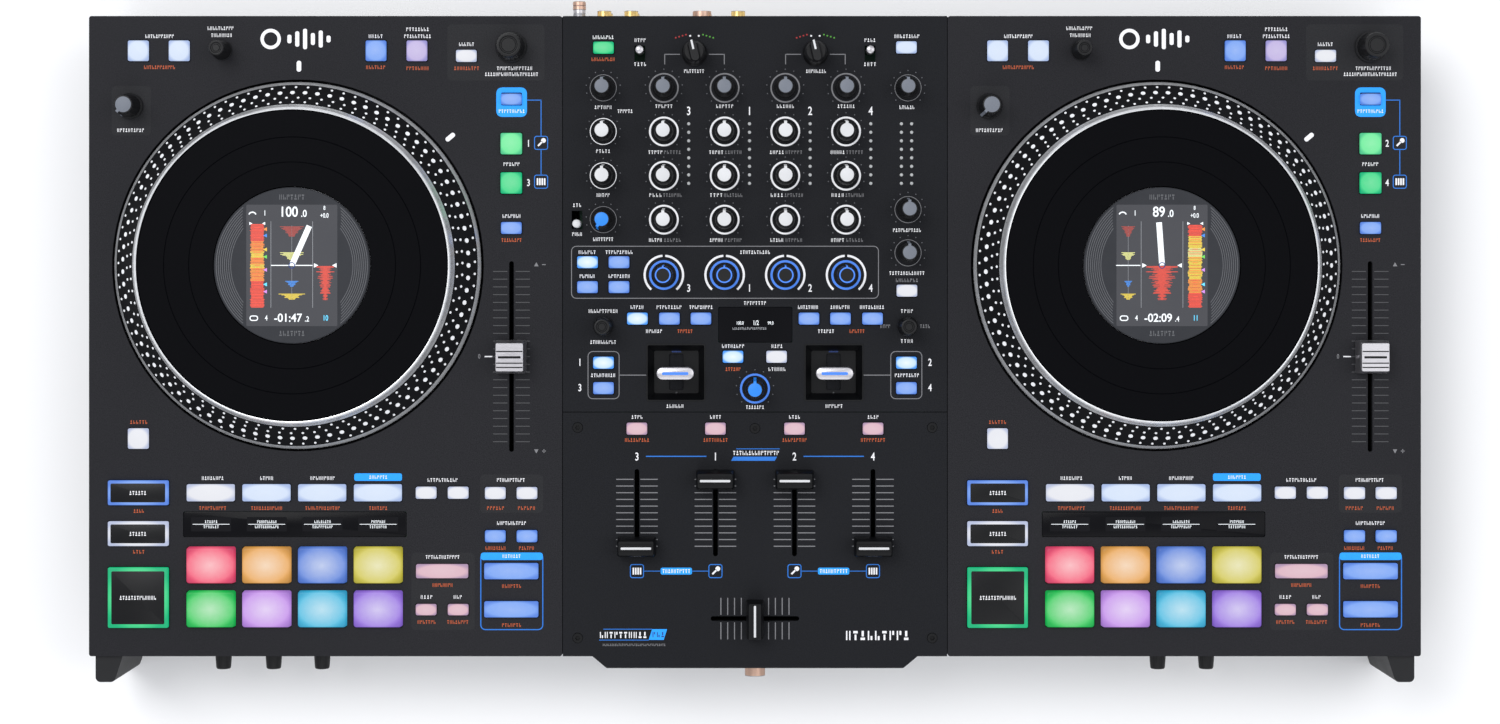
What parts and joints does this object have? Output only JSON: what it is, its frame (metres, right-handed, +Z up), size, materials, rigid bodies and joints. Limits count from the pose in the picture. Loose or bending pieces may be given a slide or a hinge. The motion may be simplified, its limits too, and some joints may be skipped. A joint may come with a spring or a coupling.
{
  "type": "dj controller",
  "caption": "Wide desktop DJ controller: motor-driven jog platters with centre screens flank a mixer with knobs, meters, paddles and sliding faders.",
  "frame": {"origin": "centre of the bounding box, on the surface that the feet rest on", "axes": "+X to the operator's right along the long side, +Y away from the operator towards the sockets, +Z up"},
  "size_m": [0.7822, 0.403, 0.0908],
  "materials": {
    "tray_paint": "fine black powder coat",
    "deck_paint": "satin charcoal with fine speckle",
    "mixer_paint": "satin near-black",
    "leg_plastic": "matte dark grey",
    "foot_rubber": "matte",
    "black_screws": "black oxide",
    "socket_metal": "gold plated",
    "board_resin": "solder mask",
    "bare_aluminium": "satin",
    "motor_steel": "brushed",
    "screen_grey": "satin grey with turned grooves",
    "display_glass": "glossy black window",
    "led_resin": "frosted",
    "knob_black": "soft-touch black",
    "platter_black": "black anodised with silver dots",
    "disc_vinyl": "satin with fine grooves",
    "silver_cap": "satin silver",
    "fader_black": "satin black with a white line",
    "pad_silicone": "frosted translucent, lit from below",
    "button_clear": "frosted, lit from below"
  },
  "bodies": {
    "root": {"bottom_tray": "tray_paint", "deck_plates": "deck_paint", "mixer_plate": "mixer_paint", "fader_plate": "mixer_paint", "front_legs": "leg_plastic", "rubber_feet": "foot_rubber", "fasteners": "black_screws", "rear_sockets": "socket_metal", "circuit_boards": "board_resin", "power_supply": "bare_aluminium", "platter_motors": "motor_steel", "platter_screens": "screen_grey", "display_windows": "display_glass", "meter_leds": "led_resin", "control_bodies": "motor_steel", "trim_knobs": "knob_black"},
    "left_platter": {"left_platter": "platter_black", "left_record": "disc_vinyl"},
    "right_platter": {"right_platter": "platter_black", "right_record": "disc_vinyl"},
    "left_pitch_fader": {"left_pitch_fader": "silver_cap"},
    "right_pitch_fader": {"right_pitch_fader": "silver_cap"},
    "crossfader": {"crossfader": "fader_black"},
    "channel_fader_3": {"channel_fader_3": "fader_black"},
    "channel_fader_1": {"channel_fader_1": "fader_black"},
    "channel_fader_2": {"channel_fader_2": "fader_black"},
    "channel_fader_4": {"channel_fader_4": "fader_black"},
    "left_effect_paddle": {"left_effect_paddle": "silver_cap"},
    "right_effect_paddle": {"right_effect_paddle": "silver_cap"},
    "left_pads": {"left_pads": "pad_silicone"},
    "right_pads": {"right_pads": "pad_silicone"},
    "left_deck_buttons": {"left_deck_buttons": "button_clear"},
    "right_deck_buttons": {"right_deck_buttons": "button_clear"},
    "mixer_buttons": {"mixer_buttons": "button_clear"},
    "left_line_switch": {"left_line_switch": "silver_cap"},
    "right_line_switch": {"right_line_switch": "silver_cap"},
    "mic_echo_switch": {"mic_echo_switch": "silver_cap"},
    "left_scroll_knob": {"left_scroll_knob": "knob_black"},
    "right_scroll_knob": {"right_scroll_knob": "knob_black"},
    "main_level_knob": {"main_level_knob": "knob_black"},
    "channel_3_effect_knob": {"channel_3_effect_knob": "knob_black"},
    "channel_1_effect_knob": {"channel_1_effect_knob": "knob_black"},
    "channel_2_effect_knob": {"channel_2_effect_knob": "knob_black"},
    "channel_4_effect_knob": {"channel_4_effect_knob": "knob_black"},
    "channel_3_level_knob": {"channel_3_level_knob": "knob_black"},
    "channel_1_level_knob": {"channel_1_level_knob": "knob_black"},
    "channel_2_level_knob": {"channel_2_level_knob": "knob_black"},
    "channel_4_level_knob": {"channel_4_level_knob": "knob_black"},
    "channel_3_high_knob": {"channel_3_high_knob": "knob_black"},
    "channel_1_high_knob": {"channel_1_high_knob": "knob_black"},
    "channel_2_high_knob": {"channel_2_high_knob": "knob_black"},
    "channel_4_high_knob": {"channel_4_high_knob": "knob_black"},
    "channel_3_mid_knob": {"channel_3_mid_knob": "knob_black"},
    "channel_1_mid_knob": {"channel_1_mid_knob": "knob_black"},
    "channel_2_mid_knob": {"channel_2_mid_knob": "knob_black"},
    "channel_4_mid_knob": {"channel_4_mid_knob": "knob_black"},
    "channel_3_low_knob": {"channel_3_low_knob": "knob_black"},
    "channel_1_low_knob": {"channel_1_low_knob": "knob_black"},
    "channel_2_low_knob": {"channel_2_low_knob": "knob_black"},
    "channel_4_low_knob": {"channel_4_low_knob": "knob_black"}
  },
  "joints": [
    {"name": "left_platter_spin", "type": "hinge", "parent": "root", "child": "left_platter", "pos_m": [-0.2684, 0.0437, 0.071], "axis": [0, 0, 1], "continuous": true},
    {"name": "right_platter_spin", "type": "hinge", "parent": "root", "child": "right_platter", "pos_m": [0.2359, 0.0437, 0.071], "axis": [0, 0, 1], "continuous": true},
    {"name": "left_pitch_slide", "type": "slide", "parent": "root", "child": "left_pitch_fader", "axis": [0, 1, 0], "range_m": [-0.05, 0.05]},
    {"name": "right_pitch_slide", "type": "slide", "parent": "root", "child": "right_pitch_fader", "axis": [0, 1, 0], "range_m": [-0.05, 0.05]},
    {"name": "crossfader_slide", "type": "slide", "parent": "root", "child": "crossfader", "axis": [1, 0, 0], "range_m": [-0.022, 0.022]},
    {"name": "channel_fader_3_slide", "type": "slide", "parent": "root", "child": "channel_fader_3", "axis": [0, 1, 0], "range_m": [0, 0.0393]},
    {"name": "channel_fader_1_slide", "type": "slide", "parent": "root", "child": "channel_fader_1", "axis": [0, 1, 0], "range_m": [-0.0393, 0]},
    {"name": "channel_fader_2_slide", "type": "slide", "parent": "root", "child": "channel_fader_2", "axis": [0, 1, 0], "range_m": [-0.0393, 0]},
    {"name": "channel_fader_4_slide", "type": "slide", "parent": "root", "child": "channel_fader_4", "axis": [0, 1, 0], "range_m": [0, 0.0393]},
    {"name": "left_paddle_swing", "type": "hinge", "parent": "root", "child": "left_effect_paddle", "pos_m": [-0.0464, -0.0192, 0.066], "axis": [1, 0, 0], "range_deg": [-15, 15], "stiffness_Nm_per_rad": 0.2},
    {"name": "right_paddle_swing", "type": "hinge", "parent": "root", "child": "right_effect_paddle", "pos_m": [0.0464, -0.0192, 0.066], "axis": [1, 0, 0], "range_deg": [-15, 15], "stiffness_Nm_per_rad": 0.2},
    {"name": "left_pads_press", "type": "slide", "parent": "root", "child": "left_pads", "axis": [0, 0, 1], "range_m": [-0.0012, 0], "stiffness_N_per_m": 6000},
    {"name": "right_pads_press", "type": "slide", "parent": "root", "child": "right_pads", "axis": [0, 0, 1], "range_m": [-0.0012, 0], "stiffness_N_per_m": 6000},
    {"name": "left_buttons_press", "type": "slide", "parent": "root", "child": "left_deck_buttons", "axis": [0, 0, 1], "range_m": [-0.0012, 0], "stiffness_N_per_m": 6000},
    {"name": "right_buttons_press", "type": "slide", "parent": "root", "child": "right_deck_buttons", "axis": [0, 0, 1], "range_m": [-0.0012, 0], "stiffness_N_per_m": 6000},
    {"name": "mixer_buttons_press", "type": "slide", "parent": "root", "child": "mixer_buttons", "axis": [0, 0, 1], "range_m": [-0.0012, 0], "stiffness_N_per_m": 6000},
    {"name": "left_line_switch_slide", "type": "slide", "parent": "root", "child": "left_line_switch", "axis": [0, 1, 0], "range_m": [-0.0036, 0]},
    {"name": "right_line_switch_slide", "type": "slide", "parent": "root", "child": "right_line_switch", "axis": [0, 1, 0], "range_m": [-0.0036, 0]},
    {"name": "mic_echo_switch_slide", "type": "slide", "parent": "root", "child": "mic_echo_switch", "axis": [0, 1, 0], "range_m": [0, 0.0046]},
    {"name": "left_scroll_turn", "type": "hinge", "parent": "root", "child": "left_scroll_knob", "pos_m": [-0.1431, 0.1718, 0.071], "axis": [0, 0, -1], "continuous": true},
    {"name": "right_scroll_turn", "type": "hinge", "parent": "root", "child": "right_scroll_knob", "pos_m": [0.3612, 0.1718, 0.071], "axis": [0, 0, -1], "continuous": true},
    {"name": "main_level_turn", "type": "hinge", "parent": "root", "child": "main_level_knob", "pos_m": [0.0891, 0.148, 0.071], "axis": [0, 0, -1], "range_deg": [-150, 150]},
    {"name": "channel_3_effect_turn", "type": "hinge", "parent": "root", "child": "channel_3_effect_knob", "pos_m": [-0.0535, 0.0381, 0.071], "axis": [0, 0, -1], "range_deg": [-150, 150]},
    {"name": "channel_1_effect_turn", "type": "hinge", "parent": "root", "child": "channel_1_effect_knob", "pos_m": [-0.0178, 0.0381, 0.071], "axis": [0, 0, -1], "range_deg": [-150, 150]},
    {"name": "channel_2_effect_turn", "type": "hinge", "parent": "root", "child": "channel_2_effect_knob", "pos_m": [0.0178, 0.0381, 0.071], "axis": [0, 0, -1], "range_deg": [-150, 150]},
    {"name": "channel_4_effect_turn", "type": "hinge", "parent": "root", "child": "channel_4_effect_knob", "pos_m": [0.0535, 0.0381, 0.071], "axis": [0, 0, -1], "range_deg": [-150, 150]},
    {"name": "channel_3_level_turn", "type": "hinge", "parent": "root", "child": "channel_3_level_knob", "pos_m": [-0.0535, 0.148, 0.071], "axis": [0, 0, -1], "range_deg": [-150, 150]},
    {"name": "channel_1_level_turn", "type": "hinge", "parent": "root", "child": "channel_1_level_knob", "pos_m": [-0.0178, 0.148, 0.071], "axis": [0, 0, -1], "range_deg": [-150, 150]},
    {"name": "channel_2_level_turn", "type": "hinge", "parent": "root", "child": "channel_2_level_knob", "pos_m": [0.0178, 0.148, 0.071], "axis": [0, 0, -1], "range_deg": [-150, 150]},
    {"name": "channel_4_level_turn", "type": "hinge", "parent": "root", "child": "channel_4_level_knob", "pos_m": [0.0535, 0.148, 0.071], "axis": [0, 0, -1], "range_deg": [-150, 150]},
    {"name": "channel_3_high_turn", "type": "hinge", "parent": "root", "child": "channel_3_high_knob", "pos_m": [-0.0535, 0.1224, 0.071], "axis": [0, 0, -1], "range_deg": [-150, 150]},
    {"name": "channel_1_high_turn", "type": "hinge", "parent": "root", "child": "channel_1_high_knob", "pos_m": [-0.0178, 0.1224, 0.071], "axis": [0, 0, -1], "range_deg": [-150, 150]},
    {"name": "channel_2_high_turn", "type": "hinge", "parent": "root", "child": "channel_2_high_knob", "pos_m": [0.0178, 0.1224, 0.071], "axis": [0, 0, -1], "range_deg": [-150, 150]},
    {"name": "channel_4_high_turn", "type": "hinge", "parent": "root", "child": "channel_4_high_knob", "pos_m": [0.0535, 0.1224, 0.071], "axis": [0, 0, -1], "range_deg": [-150, 150]},
    {"name": "channel_3_mid_turn", "type": "hinge", "parent": "root", "child": "channel_3_mid_knob", "pos_m": [-0.0535, 0.0964, 0.071], "axis": [0, 0, -1], "range_deg": [-150, 150]},
    {"name": "channel_1_mid_turn", "type": "hinge", "parent": "root", "child": "channel_1_mid_knob", "pos_m": [-0.0178, 0.0964, 0.071], "axis": [0, 0, -1], "range_deg": [-150, 150]},
    {"name": "channel_2_mid_turn", "type": "hinge", "parent": "root", "child": "channel_2_mid_knob", "pos_m": [0.0178, 0.0964, 0.071], "axis": [0, 0, -1], "range_deg": [-150, 150]},
    {"name": "channel_4_mid_turn", "type": "hinge", "parent": "root", "child": "channel_4_mid_knob", "pos_m": [0.0535, 0.0964, 0.071], "axis": [0, 0, -1], "range_deg": [-150, 150]},
    {"name": "channel_3_low_turn", "type": "hinge", "parent": "root", "child": "channel_3_low_knob", "pos_m": [-0.0535, 0.0706, 0.071], "axis": [0, 0, -1], "range_deg": [-150, 150]},
    {"name": "channel_1_low_turn", "type": "hinge", "parent": "root", "child": "channel_1_low_knob", "pos_m": [-0.0178, 0.0706, 0.071], "axis": [0, 0, -1], "range_deg": [-150, 150]},
    {"name": "channel_2_low_turn", "type": "hinge", "parent": "root", "child": "channel_2_low_knob", "pos_m": [0.0178, 0.0706, 0.071], "axis": [0, 0, -1], "range_deg": [-150, 150]},
    {"name": "channel_4_low_turn", "type": "hinge", "parent": "root", "child": "channel_4_low_knob", "pos_m": [0.0535, 0.0706, 0.071], "axis": [0, 0, -1], "range_deg": [-150, 150]}
  ]
}
